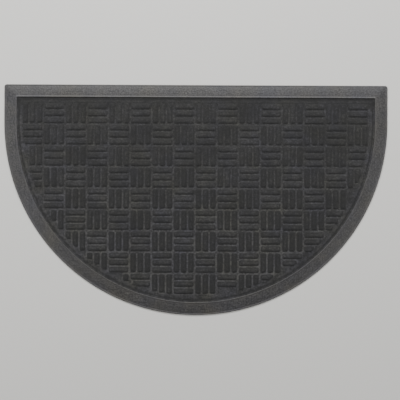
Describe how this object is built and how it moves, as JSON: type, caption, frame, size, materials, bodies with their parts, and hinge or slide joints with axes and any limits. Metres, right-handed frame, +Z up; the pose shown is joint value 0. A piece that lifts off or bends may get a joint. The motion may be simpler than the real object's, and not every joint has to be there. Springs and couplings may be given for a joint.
{
  "type": "half round doormat",
  "caption": "Half round doormat: a low moulded rubber tray with a raised border, filled with a carpet panel pressed into a parquet of raised bars.",
  "frame": {"origin": "on the underside, at the centre of the mat's box in plan", "axes": "+Z up, +X along the straight edge, +Y from the curved edge towards the straight edge"},
  "size_m": [0.762, 0.4572, 0.0077],
  "materials": {
    "moulded_rubber": "moulded, finely pebbled on the border",
    "needle_punched_carpet": "matte needle-punched fibre, pressed into bars"
  },
  "bodies": {
    "root": {"rubber_tray": "moulded_rubber", "carpet_panel": "needle_punched_carpet"}
  },
  "joints": []
}
